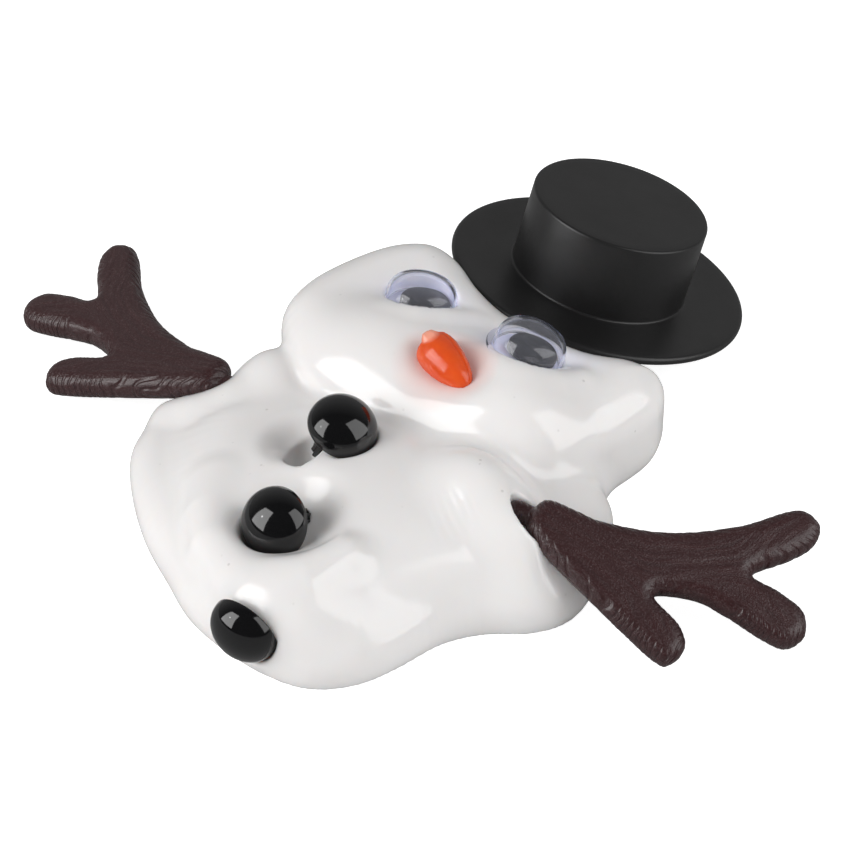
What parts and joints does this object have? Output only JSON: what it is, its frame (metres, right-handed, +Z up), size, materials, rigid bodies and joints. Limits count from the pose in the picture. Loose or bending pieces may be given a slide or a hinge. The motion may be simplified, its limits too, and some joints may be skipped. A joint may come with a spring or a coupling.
{
  "type": "melting snowman",
  "caption": "Melted snowman of glossy white putty lying flat, with a flat-brimmed top hat, googly eyes, carrot nose, domed buttons and forked twig arms.",
  "frame": {"origin": "centre of the putty's flat underside, level with the surface that it lies on", "axes": "+X across the snowman towards the end of its right arm, +Y from its feet to its hat, +Z up out of its face. Left and right are the viewer's, seen from its feet"},
  "size_m": [0.1294, 0.1145, 0.0231],
  "materials": {
    "putty": "soft white putty with a wet gloss",
    "hat_plastic": "satin black moulding",
    "eye_backing": "pale lavender card-thin plastic",
    "eye_dome": "clear moulded dome",
    "pupil": "black disc",
    "carrot_plastic": "glossy orange moulding",
    "button_plastic": "polished black moulding",
    "twig_plastic": "dark brown moulding with lengthwise grain"
  },
  "bodies": {
    "root": {"putty": "putty", "hat": "hat_plastic", "eye_left_backing": "eye_backing", "eye_left_dome": "eye_dome", "eye_left_pupil": "pupil", "eye_right_backing": "eye_backing", "eye_right_dome": "eye_dome", "eye_right_pupil": "pupil", "carrot_nose": "carrot_plastic", "button_top": "button_plastic", "button_middle": "button_plastic", "button_bottom": "button_plastic", "twig_arm_left": "twig_plastic", "twig_arm_right": "twig_plastic"}
  },
  "joints": []
}
